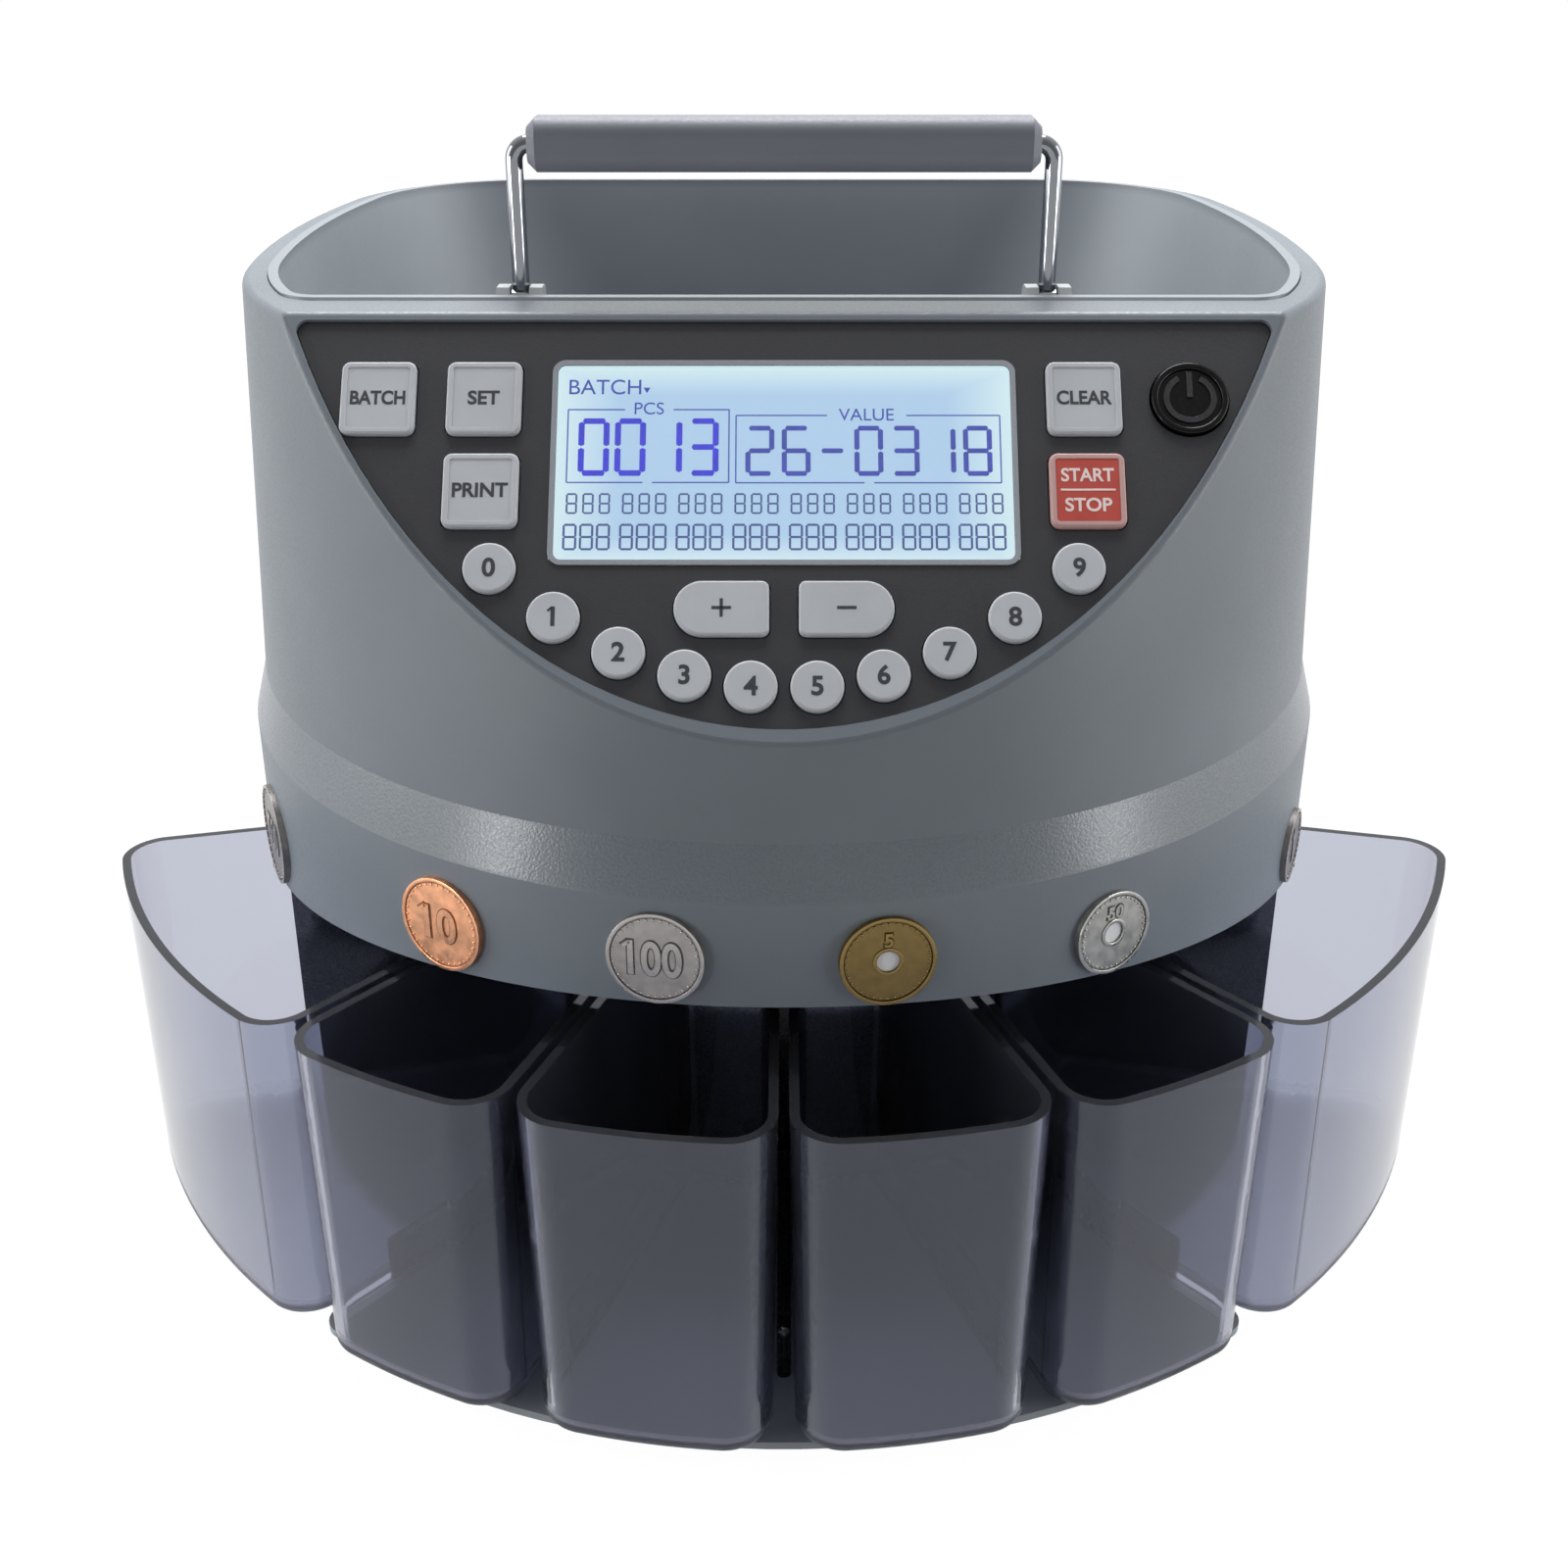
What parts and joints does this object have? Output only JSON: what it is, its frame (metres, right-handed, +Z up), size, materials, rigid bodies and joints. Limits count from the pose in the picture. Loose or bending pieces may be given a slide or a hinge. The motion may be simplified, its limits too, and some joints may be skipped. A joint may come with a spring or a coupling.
{
  "type": "coin sorting machine",
  "caption": "Desk-top coin sorter: round hopper drum with a sloped key panel and display, fold-down wire handle, graded sorting deck and a ring of smoked pull-out bins.",
  "frame": {"origin": "centre of the overall box, at the feet's underside", "axes": "+X to the right of someone facing the keys, +Z up, and the keys and bins face -Y"},
  "size_m": [0.3536, 0.3308, 0.2776],
  "materials": {
    "housing_grey": "fine satin texture",
    "tub_grey": "satin",
    "panel_black": "satin",
    "chassis_black": "satin",
    "smoked_clear": "polished, see-through",
    "key_grey": "soft satin",
    "key_red": "soft satin",
    "key_black": "gloss",
    "lcd_frame": "satin",
    "lcd_clear": "polished",
    "lcd_face": "lit display",
    "board_green": "solder mask",
    "dome_steel": "bright",
    "chrome_wire": "polished",
    "steel": "zinc",
    "deck_alloy": "rolled",
    "bush_bronze": "sintered",
    "coin_metal": "satin coin discs, silver, copper and brass tones",
    "wheel_plastic": "satin",
    "motor_steel": "plated",
    "supply_case": "plain sheet",
    "foot_rubber": "matte"
  },
  "bodies": {
    "machine": {"base_plate": "housing_grey", "bin_guides": "chassis_black", "coin_labels": "coin_metal", "coin_sensors": "chassis_black", "control_panel": "panel_black", "data_port": "steel", "dome_switches": "dome_steel", "drive_motor": "motor_steel", "drive_plate": "steel", "handle_clips": "housing_grey", "handle_pins": "steel", "hopper_tub": "tub_grey", "key_board": "board_green", "lcd_bezel": "lcd_frame", "lcd_lens": "lcd_clear", "lcd_module": "lcd_face", "main_board": "board_green", "plate_standoffs": "steel", "power_inlet": "key_black", "power_supply": "supply_case", "rear_chassis": "chassis_black", "ring_housing": "housing_grey", "rubber_feet": "foot_rubber", "screws": "steel", "shaft_bushes": "bush_bronze", "sort_deck": "deck_alloy", "track_ring": "wheel_plastic", "upper_housing": "housing_grey"},
    "feed_rotor": {"feed_wheel": "wheel_plastic", "feed_cap": "steel", "main_shaft": "steel", "drive_gear": "wheel_plastic"},
    "pinion": {"motor_pinion": "steel"},
    "handle": {"handle_bail": "chrome_wire", "handle_grip": "housing_grey"},
    "key_batch": {"key_batch": "key_grey"},
    "key_set": {"key_set": "key_grey"},
    "key_print": {"key_print": "key_grey"},
    "key_clear": {"key_clear": "key_grey"},
    "key_start_stop": {"key_start_stop": "key_red"},
    "key_power": {"key_power": "key_black"},
    "key_plus": {"key_plus": "key_grey"},
    "key_minus": {"key_minus": "key_grey"},
    "key_digit_0": {"key_digit_0": "key_grey"},
    "key_digit_1": {"key_digit_1": "key_grey"},
    "key_digit_2": {"key_digit_2": "key_grey"},
    "key_digit_3": {"key_digit_3": "key_grey"},
    "key_digit_4": {"key_digit_4": "key_grey"},
    "key_digit_5": {"key_digit_5": "key_grey"},
    "key_digit_6": {"key_digit_6": "key_grey"},
    "key_digit_7": {"key_digit_7": "key_grey"},
    "key_digit_8": {"key_digit_8": "key_grey"},
    "key_digit_9": {"key_digit_9": "key_grey"},
    "coin_bin_6": {"coin_bin_6": "smoked_clear"},
    "coin_bin_5": {"coin_bin_5": "smoked_clear"},
    "coin_bin_4": {"coin_bin_4": "smoked_clear"},
    "coin_bin_3": {"coin_bin_3": "smoked_clear"},
    "coin_bin_2": {"coin_bin_2": "smoked_clear"},
    "coin_bin_1": {"coin_bin_1": "smoked_clear"}
  },
  "joints": [
    {"name": "key_batch_press", "type": "slide", "parent": "machine", "child": "key_batch", "axis": [0, 0.7716, -0.6361], "range_m": [0, 0.0012], "stiffness_N_per_m": 500, "springref_m": -0.0004},
    {"name": "key_set_press", "type": "slide", "parent": "machine", "child": "key_set", "axis": [0, 0.7716, -0.6361], "range_m": [0, 0.0012], "stiffness_N_per_m": 500, "springref_m": -0.0004},
    {"name": "key_print_press", "type": "slide", "parent": "machine", "child": "key_print", "axis": [0, 0.7716, -0.6361], "range_m": [0, 0.0012], "stiffness_N_per_m": 500, "springref_m": -0.0004},
    {"name": "key_clear_press", "type": "slide", "parent": "machine", "child": "key_clear", "axis": [0, 0.7716, -0.6361], "range_m": [0, 0.0012], "stiffness_N_per_m": 500, "springref_m": -0.0004},
    {"name": "key_start_stop_press", "type": "slide", "parent": "machine", "child": "key_start_stop", "axis": [0, 0.7716, -0.6361], "range_m": [0, 0.0012], "stiffness_N_per_m": 500, "springref_m": -0.0004},
    {"name": "key_power_press", "type": "slide", "parent": "machine", "child": "key_power", "axis": [0, 0.7716, -0.6361], "range_m": [0, 0.0012], "stiffness_N_per_m": 500, "springref_m": -0.0004},
    {"name": "key_plus_press", "type": "slide", "parent": "machine", "child": "key_plus", "axis": [0, 0.7716, -0.6361], "range_m": [0, 0.0012], "stiffness_N_per_m": 500, "springref_m": -0.0004},
    {"name": "key_minus_press", "type": "slide", "parent": "machine", "child": "key_minus", "axis": [0, 0.7716, -0.6361], "range_m": [0, 0.0012], "stiffness_N_per_m": 500, "springref_m": -0.0004},
    {"name": "key_digit_0_press", "type": "slide", "parent": "machine", "child": "key_digit_0", "axis": [0, 0.7716, -0.6361], "range_m": [0, 0.0012], "stiffness_N_per_m": 500, "springref_m": -0.0004},
    {"name": "key_digit_1_press", "type": "slide", "parent": "machine", "child": "key_digit_1", "axis": [0, 0.7716, -0.6361], "range_m": [0, 0.0012], "stiffness_N_per_m": 500, "springref_m": -0.0004},
    {"name": "key_digit_2_press", "type": "slide", "parent": "machine", "child": "key_digit_2", "axis": [0, 0.7716, -0.6361], "range_m": [0, 0.0012], "stiffness_N_per_m": 500, "springref_m": -0.0004},
    {"name": "key_digit_3_press", "type": "slide", "parent": "machine", "child": "key_digit_3", "axis": [0, 0.7716, -0.6361], "range_m": [0, 0.0012], "stiffness_N_per_m": 500, "springref_m": -0.0004},
    {"name": "key_digit_4_press", "type": "slide", "parent": "machine", "child": "key_digit_4", "axis": [0, 0.7716, -0.6361], "range_m": [0, 0.0012], "stiffness_N_per_m": 500, "springref_m": -0.0004},
    {"name": "key_digit_5_press", "type": "slide", "parent": "machine", "child": "key_digit_5", "axis": [0, 0.7716, -0.6361], "range_m": [0, 0.0012], "stiffness_N_per_m": 500, "springref_m": -0.0004},
    {"name": "key_digit_6_press", "type": "slide", "parent": "machine", "child": "key_digit_6", "axis": [0, 0.7716, -0.6361], "range_m": [0, 0.0012], "stiffness_N_per_m": 500, "springref_m": -0.0004},
    {"name": "key_digit_7_press", "type": "slide", "parent": "machine", "child": "key_digit_7", "axis": [0, 0.7716, -0.6361], "range_m": [0, 0.0012], "stiffness_N_per_m": 500, "springref_m": -0.0004},
    {"name": "key_digit_8_press", "type": "slide", "parent": "machine", "child": "key_digit_8", "axis": [0, 0.7716, -0.6361], "range_m": [0, 0.0012], "stiffness_N_per_m": 500, "springref_m": -0.0004},
    {"name": "key_digit_9_press", "type": "slide", "parent": "machine", "child": "key_digit_9", "axis": [0, 0.7716, -0.6361], "range_m": [0, 0.0012], "stiffness_N_per_m": 500, "springref_m": -0.0004},
    {"name": "coin_bin_6_pull", "type": "slide", "parent": "machine", "child": "coin_bin_6", "axis": [-0.842, -0.5395, 0], "range_m": [0, 0.1]},
    {"name": "coin_bin_5_pull", "type": "slide", "parent": "machine", "child": "coin_bin_5", "axis": [-0.4852, -0.8744, 0], "range_m": [0, 0.1]},
    {"name": "coin_bin_4_pull", "type": "slide", "parent": "machine", "child": "coin_bin_4", "axis": [-0.1681, -0.9858, 0], "range_m": [0, 0.1]},
    {"name": "coin_bin_3_pull", "type": "slide", "parent": "machine", "child": "coin_bin_3", "axis": [0.1681, -0.9858, 0], "range_m": [0, 0.1]},
    {"name": "coin_bin_2_pull", "type": "slide", "parent": "machine", "child": "coin_bin_2", "axis": [0.4852, -0.8744, 0], "range_m": [0, 0.1]},
    {"name": "coin_bin_1_pull", "type": "slide", "parent": "machine", "child": "coin_bin_1", "axis": [0.842, -0.5395, 0], "range_m": [0, 0.1]},
    {"name": "handle_fold", "type": "hinge", "parent": "machine", "child": "handle", "pos_m": [0, -0.03557, 0.2355], "axis": [1, 0, 0], "range_deg": [-90, 0]},
    {"name": "feed_wheel_spin", "type": "hinge", "parent": "machine", "child": "feed_rotor", "pos_m": [0, 0.01944, 0.107], "axis": [0, 0, 1], "continuous": true},
    {"name": "motor_pinion_spin", "type": "hinge", "parent": "machine", "child": "pinion", "pos_m": [0, 0.05944, 0.088], "axis": [0, 0, 1], "continuous": true}
  ],
  "couplings": [
    {"joint": "motor_pinion_spin", "follows": "feed_wheel_spin", "ratio": -3}
  ]
}
